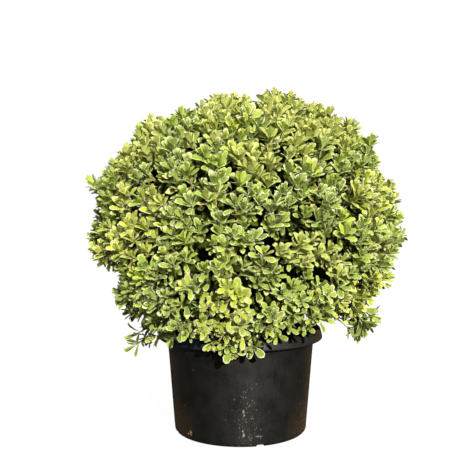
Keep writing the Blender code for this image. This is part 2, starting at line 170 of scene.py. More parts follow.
# A box of unit size round the origin, for the drain slots and the chips
SQUARE = ((-0.5, -0.5), (0.5, -0.5), (0.5, 0.5), (-0.5, 0.5))
BOX_CORNERS = np.array([(x, y, z) for z in (-0.5, 0.5) for x, y in SQUARE])
BOX_FACES = np.array([(3, 2, 1, 0), (4, 5, 6, 7), (0, 1, 5, 4), (1, 2, 6, 5), (2, 3, 7, 6), (3, 0, 4, 7)])

# Trunk and boughs, as in the source, with bark on them
TRUNK_HEIGHT = 0.105
TRUNK_RADIUS = 0.0175
TRUNK_TOP_RADIUS = 0.0150
TRUNK_LEAN = np.array((0.008, -0.004, 0))
TRUNK_RINGS = 40
TRUNK_SIDES = 32
TRUNK_SUNK = 0.06  # share of the height that stands in the mix
TOP_DRAW = 0.55  # how far its top draws in
TOP_CAP = 0.002
ROOT_FLARE = 0.016
ROOT_FLARE_HEIGHT = 0.014
ROOT_LOBES = 4
ROOT_LOBE_DEPTH = 0.25
CROWN_ROUNDING = 0.07  # share of the trunk's height in which its top closes
PRIMARY_RADIUS = 0.0082
SECONDARY_RADIUS = 0.0052
BOUGH_TIP_RADIUS = 0.0048
BOUGH_SIDES = 12
FINE_RINGS = 25
SOURCE_RINGS = 5
LEADER_START = 0.85
PRIMARY_STARTS = (0.55, 0.80)
PRIMARY_LEVEL_LEAD = 0.065
PRIMARY_RISE_LEAD = 0.045
SIDE_LEAD = 0.040
SIDE_FORWARD = 0.4
TIP_LEAD = 0.055
SIDE_BOUGHS = (("low", 2), ("high", 3))
COLLAR_SWELL = 0.35  # how much a bough thickens where it leaves its parent
COLLAR_LENGTH = 0.10
BARK_RELIEF = 0.09
ROUND_GRAIN = 2.2
LONG_GRAIN = 45
BARK_SHIFT = 90  # from one limb to the next
SCAR_SPACING = 0.022
SCAR_SWELL = 0.08
SCAR_SHARPNESS = 6

# Crown: its outline and its masses, as in the source
CROWN_CENTRE = np.array((0.012, 0, 0.550))
CROWN_RADIUS = 0.430
CROWN_RISE = 0.350
CROWN_DROP = 0.318
UPPER_SQUARENESS = 2.15
LOWER_SQUARENESS = 3.1
CROWN_LUMPS = (
    (180, 14, 0.016, 60), (180, -6, 0.014, 60), (184, 40, -0.026, 30),
    (180, -24, -0.018, 60), (186, -47, 0.066, 120), (0, -4, 0.018, 60),
    (0, 23, -0.026, 150), (0, 35, 0.012, 90), (0, -22, -0.018, 60),
    (354, -44, 0.044, 100), (40, 74, 0.014, 60), (262, -50, 0.024, 40),
    (95, -44, 0.020, 40), (48, 8, 0.010, 40), (128, -2, 0.012, 40),
)
# How far the outline stands out beyond that at these elevations, on the view's left and right, in mm
EDGE_POWER = 4
EDGE_ELEVATIONS = range(-58, 87, 8)
MM = 0.001
LEFT_EDGE = (10, 23, -11, -34, -32, -95, 6, -7, -44, 14, -7, -30, 11, 23, -23, -37, -77, -9, -46)
RIGHT_EDGE = (-30, -34, 8, -28, -45, 7, 5, -1, -12, -10, -44, 19, -26, 8, 4, 14, 13, -2, -41)
# Finer shoots of the outline, laid over the lumps
FINE_LUMPS = (
    (0, 77, 0.012, 200), (180, 79, 0.010, 200), (268, 64, -0.012, 300), (186, -47, -0.040, 120),
    (354, -44, -0.030, 100), (268, -52, 0.016, 200), (180, 76, 0.014, 500), (0, 70, 0.008, 500),
)
# The crown's evener front above its skirt: start and run (towards the camera, and up), and what it
# takes off the depth of single buds and of clumps
FRONT = ((0.35, 0.30), (-0.55, 0.15))
EVEN_BUDS = 0.45
EVEN_CLUMPS = 0.8
# Dark hollows in that front: how sharp they are, and azimuth, elevation and depth of each
HOLLOW_SHARPNESS = 350
HOLLOWS = (
    (264.5, -27.1, 0.075), (291.0, 1.9, 0.070), (232.0, -33.7, 0.030), (307.9, 6.1, 0.060),
    (316.0, -19.2, 0.060), (234.2, 18.2, 0.060), (294.1, -12.5, 0.055), (284.2, -17.6, 0.055),
    (230.6, 6.5, 0.055), (279.4, 28.5, 0.055), (237.6, -2.2, 0.050), (248.1, -24.6, 0.050),
    (272.6, -14.8, 0.050), (255.0, 1.4, 0.050),
)
# The notch in the crown's top: its place and half width (across over rise), depth and lowest rise
NOTCH = (0.076, 0.044, 0.074, 0.80)
# Twigs that fill the two sprays at the top
EXTRA_TWIGS = ((350, 78), (12, 80), (172, 79), (190, 82), (180, 76), (0, 74), (2, 70))
# Hanging sprays: azimuth, elevation and distance of each bud from the crown's centre, which way the
# ends of the twigs turn, and the look of the leaves
THIN_LEAVES = {"size": 1.32, "slenderness": 0.39, "fullness": 0.46, "opening": 1.15}
FULL_LEAVES = {"size": 1.20, "slenderness": 0.45, "fullness": 0.78, "opening": 1.0}
WIDE_LEAVES = {"size": 1.14, "slenderness": 0.49, "fullness": 0.66, "opening": 1.1, "tint": 0.36}
LEFT_SPRAY = ((184, -48.2, 0.432), (186, -45.5, 0.408), (180, -50.5, 0.396))
RIGHT_SPRAY = (
    (355, -43.5, 0.408), (359, -40.0, 0.400), (349, -39.0, 0.406), (356, -36.5, 0.414),
    (354, -45.5, 0.392),
)
FRONT_SPRAY = ((281, -46.5, 0.372), (268, -46.0, 0.370), (261, -47.5, 0.378), (273, -48.5, 0.380))
HANGING_SPRAYS = (
    (LEFT_SPRAY, (-0.20, -0.70, 0.30), THIN_LEAVES),
    (RIGHT_SPRAY, (0.10, -0.60, -0.45), FULL_LEAVES),
    (FRONT_SPRAY, (0, -0.90, 0.35), WIDE_LEAVES),
)
# No leaf here, where the pot's collar shows: azimuths, and the height and distance from the pot's
# axis under which it is bare
BARE_RIM = ((283, 338, 0.312, 0.292), (338, 400, 0.305, 0.272))
# Lowest elevation of the twigs by azimuth: the crown's skirt round the pot
SKIRT = (
    (0, -43), (20, -44), (60, -50), (120, -54), (170, -51),
    (190, -53), (215, -50), (240, -53), (262, -57), (277, -57),
    (286, -42), (300, -37), (335, -37), (350, -41), (360, -43),
)
# Ring, masses in it, elevation, azimuth of the first, coarse twigs of each
RINGS = (
    ("top", 1, 90, 0, 4),
    ("high", 6, 46, 33, 5),
    ("mid", 6, 6, 7, 6),
    ("low", 6, -38, 39, 5),
)
FINE_TWIGS = 1600  # round the whole ball
FINE_STIR = 0.042
WIDEST_SPACE = math.radians(75)
CORE_DEPTH = 0.084
CORE_HOLLOW = 0.54
STEM_LENGTH = 0.016
STEM_END_RADIUS = 0.0044
STEM_POINTS = 5
STEM_SIDES = 8
HUB_SAG = 0.004
HANDLE = 0.4  # share of a twig's length, or of TIP_LEAD
HEADING_STEP = 0.1  # back along a twig, for the heading of its whorls
COARSE_SPREAD = 0.70
SHOOT_ROOM = math.radians(2.5)
# How far the ends of the twigs turn up towards the light, from the crown's underside to its top
LIFTS = ((-1.0, 0.45), (-0.6, 0.75), (0.0, 1.25), (0.7, 1.60), (1.0, 1.00))
AXIS_STIR = 0.32
# How widely the leaves of a whorl open, by the same measure
OPENINGS = ((-0.6, 1.0), (0.1, 0.92), (0.7, 0.76), (1.0, 0.76))
FULLNESS = (1.0, 0.68)  # number of leaves in a whorl, at the top and at the foot

# Twigs
HEAD_DEPTH = 0.125  # of a coarse twig's end under the crown's outline
BUD_DEPTH = 0.028  # of a fine twig's bud
BUD_STIR = 0.038  # how much deeper the deepest buds lie
BUD_POWER = 1.6
CREVICE_DEPTH = 0.030  # between one coarse twig's spray and the next
CREVICE_WIDTH = math.radians(5)
CLUMP_DEPTH = 0.043  # of the hollows among clumps of twigs
CLUMP_SCALE = 8.0
COARSE_TWIG = (7, (0.0044, 0.0030), 7)  # points along it, first and last radius, sides
FINE_TWIG = (5, (0.0025, 0.0014), 4)
TWIG_LEAD = 0.045
TWIG_KNOTS = 0.10

# Whorls of a fine twig, from its end inwards: place along it, leaves, widest and narrowest
# tilt from its axis, smallest leaf, length of stem that they share, form
WHORLS = (
    (1.00, (13, 16), 60, 5, 0.55, 0.020, "fine"),
    (0.70, (5, 6), 66, 36, 0.88, 0.010, "plain"),
    (0.36, (5, 6), 90, 55, 1.10, 0.012, "coarse"),
)
# Shade leaves, dark with painted shade, that close the crown's inside: their places along a coarse twig,
# and their whorl
SHADE_PLACES = (0.25, 0.42, 0.58, 0.72, 0.86, 1.00)
BOUGH_SHADE = (-0.085, -0.065, -0.045, -0.025, 0.0, 0.02)  # and their places beyond a bough's tip
PRIMARY_SHADE = (0.22, 0.36, 0.50, 0.64)  # and along a primary bough
SHADE_WHORL = (0, (7, 8), 100, 50, 0.85, 0.012, "coarse")
SHADE_TWIG = {"size": 1.9, "opening": 1, "fullness": 1}
LEAF_LENGTH = (0.031, 0.039)
TWIG_SIZES = (0.84, 1.10)
SIZE_STIR = (0.74, 1.14)
LOW_SIZE = 0.90  # of leaves at the crown's foot against those at its top
LEAF_SLENDERNESS = (0.41, 0.45)  # width against length, at the top and at the foot
SLENDERNESS_STIR = 0.05
LEAF_MARGIN = (0.095, 0.105)  # share of the width, from the crown's top to its foot
MARGIN_STIR = 0.35
TILT_STIR = math.radians(14)
TURN_STIR = 0.32
ROLL_STIR = 0.50
LEAF_FOLD = (0.25, 0.70)
LEAF_CURL = (0.05, 0.45)
LEAF_TWIST = 0.25
OUTER_BEND = 0.45  # droop of a whorl's outermost leaf
INNER_BEND = -0.20  # and of its innermost
BEND_STIR = (-0.35, 0.25)
TILT_POWER = 1.15
SIZE_POWER = 1.6
BASE_RADIUS = 0.0022
BASE_TAPER = 0.8
STEM_BACK = 0.75  # share of a whorl's stem below its middle
POT_ROOM = 0.003
MIX_ROOM = 0.004
COLLAR_INSIDE = 0.1813  # distance from the pot's axis at which its collar begins
SAME_WAY = 0.999999
LAST_SHARE = 0.999

# Outline of a leaf: powers of its width towards the stalk and the tip, its widest, and where the tip
# ends; least half width, run of the margin, narrowest blade, and least bend
LEAF_POWERS = (0.8, 3.4)
LEAF_WIDEST = 0.63
LEAF_TIP = 0.994
LEAST_HALF = 0.0009
MARGIN_RUN = (0.55, 0.45)
LEAST_BLADE = 0.16
LEAST_BEND = 1e-3

# Rows (shares of the length) and columns of each form of leaf
FORMS = {
    "fine": ((0, 0.34, 0.70, 0.91, 1), "em0ME"),
    "plain": ((0, 0.32, 0.74, 1), "em0ME"),
    "coarse": ((0, 0.40, 0.78, 1), "e0E"),
}

# Plain colours of the leaves, dealt out by twig, from the crown's top to its foot
SPRAY_STIR = 0.28
TWIG_STIR = 0.14
BLADES = (
    (0.480, 0.500, 0.124), (0.425, 0.485, 0.094), (0.345, 0.440, 0.066),
    (0.265, 0.365, 0.046), (0.420, 0.510, 0.044), (0.510, 0.570, 0.064),
)
CREAMS = (
    (0.490, 0.520, 0.200), (0.600, 0.615, 0.310), (0.510, 0.550, 0.190),
    (0.630, 0.635, 0.385), (0.540, 0.575, 0.220), (0.645, 0.640, 0.420),
    (0.580, 0.595, 0.270), (0.645, 0.590, 0.380),
)
OUTER_BLADES = (1, 2, 3, 3, 2, 4)  # colour of a whorl's outermost leaves for each of the blades
OUTER_AGE = 0.36
# Darker green of old leaves, and painted shade for the whorls inside the sprays
OLD_AND_SHADED_BLADES = (
    (0.150, 0.200, 0.024), (0.220, 0.280, 0.034), (0.165, 0.220, 0.026),
    (0.280, 0.215, 0.042), (0.150, 0.200, 0.024), (0.235, 0.290, 0.036),
)
OLD_CREAM = (0.560, 0.600, 0.200)
# Very dark colours of the shade leaves inside the crown: painted shade
PAINTED_SHADE_BLADES = ((0.040, 0.058, 0.007), (0.070, 0.100, 0.010), (0.120, 0.160, 0.018))


def rng_for(name):
    return np.random.default_rng(zlib.crc32(f"{name}{SEED}".encode()))


def unit(vectors):
    return vectors / np.linalg.norm(vectors, axis=-1, keepdims=True)


# Materials


def new_material(name, colour, roughness, specular=0.5):
    """A Principled material; uniform values sit on the shader's own sockets."""
    material = bpy.data.materials.new(name)
    material.use_nodes = True
    shader = material.node_tree.nodes["Principled BSDF"]
    looks = {"Base Color": (*colour, 1), "Roughness": roughness, "Specular IOR Level": specular}
    for name, value in looks.items():
        shader.inputs[name].default_value = value
    return material


class Nodes:
    """A new material, and short names for making and linking its nodes."""

    def __init__(self, *looks):
        self.material = new_material(*looks)
        self.tree = self.material.node_tree
        self.shader = self.tree.nodes["Principled BSDF"]
        self.place = self.new("TexCoord").outputs["Object"]

    def link(self, source, target):
        self.tree.links.new(source, target)

    def new(self, kind):
        return self.tree.nodes.new("ShaderNode" + kind)

    def fill(self, node, inputs, output=0):
        """Links or sets these inputs of the node, and returns one of its outputs."""
        for name, value in inputs.items():
            if hasattr(value, "is_output"):
                self.link(value, node.inputs[name])
            else:
                node.inputs[name].default_value = value
        return node.outputs[output]

    def math(self, operation, first, second=0.0, clamp=False):
        node = self.new("Math")
        node.operation = operation
        node.use_clamp = clamp
        return self.fill(node, {0: first, 1: second})

    def times(self, first, second, clamp=False):
        return self.math("MULTIPLY", first, second, clamp)

    def plus(self, first, second):
        return self.math("ADD", first, second)

    def offset(self, value, centre, width):
        """How far the value lies from the centre, in widths."""
        return self.math("DIVIDE", self.math("SUBTRACT", value, centre), width)

    def bell(self, value, centre, width):
        """1 at the centre, and less on both sides of it."""
        offset = self.offset(value, centre, width)
        return self.math("EXPONENT", self.times(self.times(offset, offset), -1.0))

    def stretched(self, rise):
        """Object coordinates with this scale upwards."""
        return self.fill(self.new("Mapping"), {"Vector": self.place, "Scale": (1, 1, rise)})

    def noise(self, scale, detail=3.0, roughness=0.55, rise=1):
        place = self.place if rise == 1 else self.stretched(rise)
        inputs = {"Vector": place, "Scale": scale, "Detail": detail, "Roughness": roughness}
        return self.fill(self.new("TexNoise"), inputs, "Fac")

    def range(self, value, low, high, to_low=0.0, to_high=1.0):
        node = self.new("MapRange")
        node.interpolation_type = "SMOOTHSTEP"
        return self.fill(node, dict(enumerate((value, low, high, to_low, to_high))))

    def mix(self, share, first, second):
        node = self.new("Mix")
        node.data_type = "RGBA"
        first, second = (tone if hasattr(tone, "is_output") else (*tone, 1) for tone in (first, second))
        return self.fill(node, {"Factor": share, "A": first, "B": second}, "Result")

    def bump(self, height, strength, distance):
        inputs = {"Strength": strength, "Distance": distance, "Height": height}
        self.link(self.fill(self.new("Bump"), inputs), self.shader.inputs["Normal"])

    def finish(self, colour, roughness=None):
        self.link(colour, self.shader.inputs["Base Color"])
        if roughness is not None:
            self.link(roughness, self.shader.inputs["Roughness"])


def bark_material():
    n = Nodes("grey_brown_bark", BARK, 0.85, 0.3)
    coarse = n.noise(38, 4)
    streaks = n.noise(150, 3, rise=0.35)
    colour = n.mix(n.range(coarse, 0.35, 0.68), *BARK_TONES)
    colour = n.mix(n.range(streaks, 0.52, 0.70, 0, 0.7), colour, BARK_CRACK)
    n.finish(colour, n.range(coarse, 0.3, 0.7, 0.74, 0.94))
    n.bump(n.plus(streaks, coarse), 0.5, 0.0012)
    return n.material


def mix_material():
    n = Nodes("potting_mix", MIX, 0.95, 0.25)
    crumbs = n.noise(190, 5, 0.65)
    patches = n.noise(24, 3)
    colour = n.mix(n.range(crumbs, 0.38, 0.66), *MIX_TONES)
    n.finish(n.mix(n.range(patches, 0.40, 0.65, 0, 0.6), colour, DAMP_MIX))
    n.bump(crumbs, 0.9, 0.003)
    return n.material


def pot_material():
    """Black plastic, dusty down the front, with splashed specks, dried drops, clay and grime; painted
    light makes the front and the collar's right paler, and paints a bluish sky reflection on the collar's
    left and a brown reflection round the sides.
    """
    n = Nodes("black_plastic", POT_BLACK, 0.46, 0.34)
    split = n.new("SeparateXYZ")
    n.link(n.place, split.inputs["Vector"])
    x, y, z = split.outputs
    azimuth = n.math("ARCTAN2", x, n.times(y, -1.0))
    from_front = n.math("ABSOLUTE", azimuth)
    broad = n.noise(26, 4)
    fine = n.noise(420, 2)
    runs = n.noise(60, 4, rise=0.16)
    grit = n.noise(240, 4, 0.7, rise=0.55)
    threads = n.noise(330, 3, 0.7, rise=0.22)
    colour = n.mix(n.range(broad, 0.30, 0.70), *POT_BLACKS)

    # Thin dust on the front, partly painted light that makes the wall paler towards the lamp on the
    # front's right. The collar is paler from there to the right, partly dust and partly painted light,
    # and on the left has a painted bluish reflection of the sky.
    front = n.range(n.math("ABSOLUTE", n.math("SUBTRACT", azimuth, 0.22)), 0.95, 0.10)
    dusty = n.plus(n.range(runs, 0.25, 0.75, 0.0, 0.04), n.range(threads, 0.35, 0.70, 0.0, 0.06))
    # Partly dust, partly painted light: paler on the front towards the lamp
    colour = n.mix(n.times(front, dusty), colour, WALL_DUST_AND_LIGHT)
    on_collar = n.range(z, 0.246, 0.250)
    # Partly dust, partly painted light: the collar paler towards its lit right side
    colour = n.mix(n.times(on_collar, n.range(azimuth, -0.30, 0.20, 0.0, 0.11)), colour, COLLAR_DUST_AND_LIGHT)
    # Painted reflection: a bluish sky on the collar's left
    colour = n.mix(n.times(on_collar, n.range(azimuth, -0.05, -0.35)), colour, PAINTED_SKY_REFLECTION)

    # Brown round the sides, where the wall turns away, is a painted reflection of brown surroundings with
    # grime in it; brown grime also lies in patches behind and at the foot
    behind = n.times(n.range(from_front, 1.5, 2.0), n.range(broad, 0.50, 0.70, 0, 0.5))
    # The bell round the sides is a painted reflection of brown surroundings; behind adds grime
    sides = n.plus(n.bell(from_front, 1.32, 0.22), behind)
    low = n.times(n.range(from_front, 0.62, 1.00), n.range(z, 0.120, 0.030, 0, 0.6))
    grime_and_reflection = n.times(n.plus(sides, low), n.range(grit, 0.38, 0.60, 0.15, 1))
    colour = n.mix(n.times(grime_and_reflection, 0.66, clamp=True), colour, GRIME_AND_REFLECTION)

    # The dusty streak down the front
    streak = n.bell(azimuth, 0.085, 0.16)
    below_rim = n.range(z, 0.225, 0.150, 0.15, 1)
    patchy = n.plus(n.times(n.range(runs, 0.35, 0.75), 0.45), n.range(grit, 0.42, 0.66))
    dust = n.times(n.times(streak, below_rim), patchy)
    colour = n.mix(n.times(dust, 0.12, clamp=True), colour, STREAK_DUST)

    # Pale specks of splashed grit, thickest in the streak, and the odd one elsewhere
    cells = n.new("TexVoronoi")
    dots = n.range(n.fill(cells, {"Vector": n.stretched(0.62), "Scale": 185}, "Distance"), 0.32, 0.10)
    chance = n.fill(n.new("SeparateColor"), {"Color": cells.outputs["Color"]})
    limit = n.plus(0.012, n.times(n.times(streak, n.range(z, 0.175, 0.080)), 0.95))
    specks = n.times(dots, n.math("LESS_THAN", chance, limit))
    colour = n.mix(n.times(specks, 0.36), colour, SPECK)
    for turn, height, half_turn, half_height, tone in MARKS:
        over, up = n.offset(azimuth, turn, half_turn), n.offset(z, height, half_height)
        far = n.plus(n.times(over, over), n.times(up, up))
        mark = n.times(n.range(far, 1.4, 0.4), n.range(grit, 0.36, 0.56, 0.15, 0.75))
        colour = n.mix(mark, colour, tone)
    n.finish(colour, n.range(broad, 0.3, 0.7, 0.40, 0.56))
    n.bump(n.plus(n.times(fine, 0.35), broad), 0.25, 0.0010)
    return n.material


def leaf_materials():
    """The plain colours of the leaves, and where each kind starts in the list of slots."""
    kinds = (
        ("leaf_blade", BLADES, 0.40, 0.34),
        ("leaf_margin", CREAMS, 0.42, 0.34),
        ("old_blade", OLD_AND_SHADED_BLADES, 0.42, 0.24),
        ("old_margin", (OLD_CREAM,), 0.45, 0.24),
        ("inner_blade", PAINTED_SHADE_BLADES, 0.60, 0.10),
    )
    found, starts = [], {}
    for name, colours, roughness, specular in kinds:
        starts[name] = len(found)
        for number, colour in enumerate(colours, 1):
            found.append(new_material(f"{name}_{number}", colour, roughness, specular))
    return found, starts


# Meshes


def new_object(name, data):
    obj = bpy.data.objects.new(name, data)
    bpy.context.scene.collection.objects.link(obj)
    return obj


def mesh_object(name, points, faces, materials, face_materials=None):
    """A smooth mesh object from arrays: points (n, 3) and quads (m, 4)."""
    mesh = bpy.data.meshes.new(name)
    mesh.from_pydata(points.tolist(), [], faces.tolist())
    mesh.shade_smooth()
    for material in materials:
        mesh.materials.append(material)
    if face_materials is not None:
        mesh.polygons.foreach_set("material_index", np.asarray(face_materials, np.int32))
    mesh.validate()
    return new_object(name, mesh)


class Heap:
    """Gathers the points and quads of many shapes for one joined mesh."""

    def __init__(self):
        self.points, self.faces, self.materials, self.count = [], [], [], 0

    def add(self, points, faces, materials):
        self.points.append(np.reshape(points, (-1, 3)))
        self.faces.append(np.reshape(faces, (-1, 4)) + self.count)
        self.materials.append(np.broadcast_to(materials, len(self.faces[-1])))
        self.count += len(self.points[-1])

    def build(self, name, materials):
        points, faces = np.concatenate(self.points), np.concatenate(self.faces)
        return mesh_object(name, points, faces, materials, np.concatenate(self.materials))


def grid_faces(points, closed=True):
    """Quads between rows of points (row, column, 3); closed joins the last column to the first."""
    rows, columns = points.shape[:2]
    row = np.arange(rows - 1)[:, None] * columns
    column = np.arange(columns if closed else columns - 1)[None, :]
    after = (column + 1) % columns
    above = row + columns
    return np.stack((row + column, row + after, above + after, above + column), -1).reshape(-1, 4)


def frame_round(axis):
    """Two unit vectors square to the axis."""
    side = unit(np.cross(axis, UP if abs(axis[2]) < STEEP else RIGHT))
    return side, np.cross(axis, side)


def spokes(angles, side, other):
    """Unit vectors at these angles, from side towards other."""
    return np.outer(np.cos(angles), side) + np.outer(np.sin(angles), other)


def compass(count):
    """Level unit vectors, evenly round."""
    return spokes(np.arange(count) * TURN / count, RIGHT, FORWARD)


def bezier(start, lead_out, lead_in, end, steps):
    """Points of the cubic from start to end with these two handles."""
    t = np.linspace(0, 1, steps)[:, None]
    s = 1 - t
    return s**3 * start + 3 * s * s * t * lead_out + 3 * s * t * t * lead_in + t**3 * end


def point_along(path, share):
    """The point at this share of the path's steps."""
    place = share * (len(path) - 1)
    low = min(int(place), len(path) - 2)
    return path[low] + (path[low + 1] - path[low]) * (place - low)


def tube_rings(path, radii, sides, relief=None):
    """Rings of points round a path; relief gives each point its own share of the radius."""
    tangents = unit(np.gradient(path, axis=0))
    side, _ = frame_round(tangents[0])
    angles = np.arange(sides) * TURN / sides
    rings = []
    for index, (point, along, radius) in enumerate(zip(path, tangents, radii)):
        side = unit(side - along * side.dot(along))
        around = spokes(angles, side, np.cross(along, side))
        reach = radius if relief is None else radius * relief[index][:, None]
        rings.append(point + around * reach)
    return np.array(rings)


def add_tube(heap, path, radii, sides, material, relief=None):
    """A closed tapering tube, drawn together to a point at both ends."""
    rings = tube_rings(path, radii, sides, relief)
    first, last = (np.full((1, sides, 3), end) for end in (path[0], path[-1]))
    rings = np.concatenate((first, rings, last))
    heap.add(rings, grid_faces(rings), material)


# Crown


def direction_of(azimuth, elevation):
    """Unit vector at these degrees; azimuth 0 is +X and 270 faces the camera."""
    a, e = math.radians(azimuth), math.radians(elevation)
    return np.array((math.cos(a) * math.cos(e), math.sin(a) * math.cos(e), math.sin(e)))


def swelling(directions, lumps):
    """How far lumps (azimuth, elevation, swell, sharpness) stand out in these directions."""
    found = 0
    for azimuth, elevation, swell, sharpness in lumps:
        found += swell * np.exp(sharpness * (directions @ direction_of(azimuth, elevation) - 1))
    return found


def crown_reach(directions):
    """Distance from the crown's centre to its outline of leaf tips."""
    level = np.hypot(directions[..., 0], directions[..., 1])
    rise = directions[..., 2]
    height = np.where(rise >= 0, CROWN_RISE, CROWN_DROP)
    power = np.where(rise >= 0, UPPER_SQUARENESS, LOWER_SQUARENESS)
    reach = ((level / CROWN_RADIUS) ** power + (np.abs(rise) / height) ** power) ** (-1 / power)
    return reach + swelling(directions, CROWN_LUMPS)


def edge_shift(way):
    """How far the outline stands out beyond the masses' own, on the left and right of the view."""
    elevation = math.degrees(math.asin(way[2]))
    found = 0
    for side, edge in ((-1, LEFT_EDGE), (1, RIGHT_EDGE)):
        facing = max(side * way[0] / math.hypot(way[0], way[1]), 0)
        found += facing**EDGE_POWER * np.interp(elevation, EDGE_ELEVATIONS, edge) * MM
    return found


def bud_depth(way, heads, rng):
    """How deep the bud in this direction lies: deeper in the hollows between the sprays."""
    nearness = np.sort(np.arccos(np.clip(heads @ way, -1, 1)))
    crevice = 1 - min((nearness[1] - nearness[0]) / CREVICE_WIDTH, 1)
    front = 1.0
    for value, (start, run) in zip((-way[1], way[2]), FRONT):
        front *= np.clip((value - start) / run, 0, 1)
    clump = max(noise.noise(Vector(way) * CLUMP_SCALE), 0)
    single = BUD_STIR * rng.uniform() ** BUD_POWER + CREVICE_DEPTH * crevice
    depth = BUD_DEPTH + (1 - EVEN_BUDS * front) * single + (1 - EVEN_CLUMPS * front) * CLUMP_DEPTH * clump
    depth += swelling(way, [(*hollow, HOLLOW_SHARPNESS) for hollow in HOLLOWS])
    depth -= swelling(way, FINE_LUMPS)
    place, half_width, drop, lowest = NOTCH
    if way[2] > lowest:
        depth += drop * math.exp(-(((way[0] / way[2] - place) / half_width) ** 4))
    return depth - edge_shift(way)


def mass_sites():
    """(ring, number, name, direction, coarse twigs) for each mass."""
    sites = []
    for ring, count, elevation, first, coarse in RINGS:
        for number in range(1, count + 1):
            name = ring if count == 1 else f"{ring}_{number}"
            direction = direction_of(first + (number - 1) * 360 / count, elevation)
            sites.append((ring, number, name, direction, coarse))
    return sites


def space_walls(direction, centres):
    """Normals of the planes through the crown's centre that bound a mass."""
    return unit(np.array([direction - other for other in centres if other is not direction]))


def widest_angles(direction, across, walls):
    """Angles from direction, turning towards across, at which the mass's space ends."""
    towards = across @ walls.T
    limits = np.arctan2(walls @ direction, np.maximum(-towards, TINY))
    limits = np.where(towards < -TINY, limits, WIDEST_SPACE)
    return np.minimum(limits.min(-1), WIDEST_SPACE)


def head_sites(direction, walls, count, rng):
    """Directions of a mass's coarse twigs, spread evenly by the sunflower rule."""
    numbers = np.arange(count)
    turns = rng.uniform(0, TURN) + numbers * GOLDEN_ANGLE
    across = spokes(turns, *frame_round(direction))
    shares = np.sqrt((numbers + 0.25) / count) * COARSE_SPREAD
    angles = (widest_angles(direction, across, walls) * shares)[:, None]
    return direction * np.cos(angles) + across * np.sin(angles)


def bud_sites():
    """Directions of the fine twigs: the sunflower rule wound round the whole ball, and the shoots."""
    numbers = np.arange(FINE_TWIGS)
    rise = 1 - (2 * numbers[:, None] + 1) / FINE_TWIGS
    ways = spokes(numbers * GOLDEN_ANGLE, RIGHT, FORWARD) * np.sqrt(1 - rise**2) + rise * UP
    ways = unit(ways + rng_for("buds").uniform(-FINE_STIR, FINE_STIR, ways.shape))
    lumps = CROWN_LUMPS + FINE_LUMPS
    spots = [lump[:2] for lump in lumps if lump[2] > 0] + list(EXTRA_TWIGS)
    spots += [twig[:2] for twigs, _, _ in HANGING_SPRAYS for twig in twigs]
    shoots = np.array([direction_of(*spot) for spot in spots])
    clear = (ways @ shoots.T < math.cos(SHOOT_ROOM)).all(1)
    azimuths = np.degrees(np.arctan2(ways[:, 1], ways[:, 0])) % 360
    above = np.degrees(np.arcsin(ways[:, 2])) > np.interp(azimuths, *zip(*SKIRT))
    return np.concatenate((shoots, ways[clear & above]))


def core_start(direction):
    return crown_reach(direction) * CORE_HOLLOW


def bough_tip(direction):
    """Where the bough of the mass in this direction ends."""
    return CROWN_CENTRE + direction * (core_start(direction) - STEM_LENGTH)


def hub_of(direction):
    """Where the twigs of the mass in this direction part."""
    return CROWN_CENTRE + direction * (core_start(direction) + crown_reach(direction) - CORE_DEPTH) / 2


# Trunk and boughs


def trunk_axis(share):
    """A point of the trunk's centre line, from the soil at 0 to the fork at 1."""
    return UP * (SOIL_TOP + TRUNK_HEIGHT * share) + TRUNK_LEAN * share**2


def bark_relief(path, sides, ridge):
    """Share of the radius at each point of a limb: ridges along it, knots and leaf scars round it."""
    run = np.concatenate(([0], np.cumsum(np.linalg.norm(np.diff(path, axis=0), axis=1))))
    around = compass(sides) * ROUND_GRAIN + path[0] * BARK_SHIFT
    found = np.ones((len(path), sides))
    for row, along in enumerate(run):
        scar = SCAR_SWELL * max(0, math.cos(TURN * along / SCAR_SPACING)) ** SCAR_SHARPNESS
        for column, spot in enumerate(around + UP * along * LONG_GRAIN):
            found[row, column] += scar + ridge * noise.fractal(Vector(spot), 1.0, 2.1, 3)
    return found


def add_trunk(heap):
    shares = np.linspace(-TRUNK_SUNK, 1, TRUNK_RINGS)
    path = np.array([trunk_axis(share) for share in shares])
    angles = np.arange(TRUNK_SIDES) * TURN / TRUNK_SIDES
    relief = bark_relief(path, TRUNK_SIDES, BARK_RELIEF)
    radii = TRUNK_RADIUS + (TRUNK_TOP_RADIUS - TRUNK_RADIUS) * shares
    close = np.clip((1 - shares) / CROWN_ROUNDING, 0, 1)
    radii = radii * np.sqrt(1 - (1 - close) ** 2 * TOP_DRAW)
    flare = ROOT_FLARE * np.exp(-np.maximum(shares, 0) * TRUNK_HEIGHT / ROOT_FLARE_HEIGHT)
    lobes = 1 - ROOT_LOBE_DEPTH + ROOT_LOBE_DEPTH * np.cos(ROOT_LOBES * angles)
    relief *= 1 + np.outer(flare / radii, lobes)
    rings = path[:, None] + compass(TRUNK_SIDES) * (radii[:, None] * relief)[..., None]
    top = np.full((1, TRUNK_SIDES, 3), path[-1] + UP * TOP_CAP)
    rings = np.concatenate((rings, top))
    heap.add(rings, grid_faces(rings), 0)


def add_bough(heap, controls, first_radius):
    path = bezier(*controls, FINE_RINGS)
    shares = np.linspace(0, 1, FINE_RINGS)
    radii = first_radius + (BOUGH_TIP_RADIUS - first_radius) * shares
    radii = radii * (1 + COLLAR_SWELL * np.exp(-shares / COLLAR_LENGTH))
    add_tube(heap, path, radii, BOUGH_SIDES, 0, bark_relief(path, BOUGH_SIDES, BARK_RELIEF))


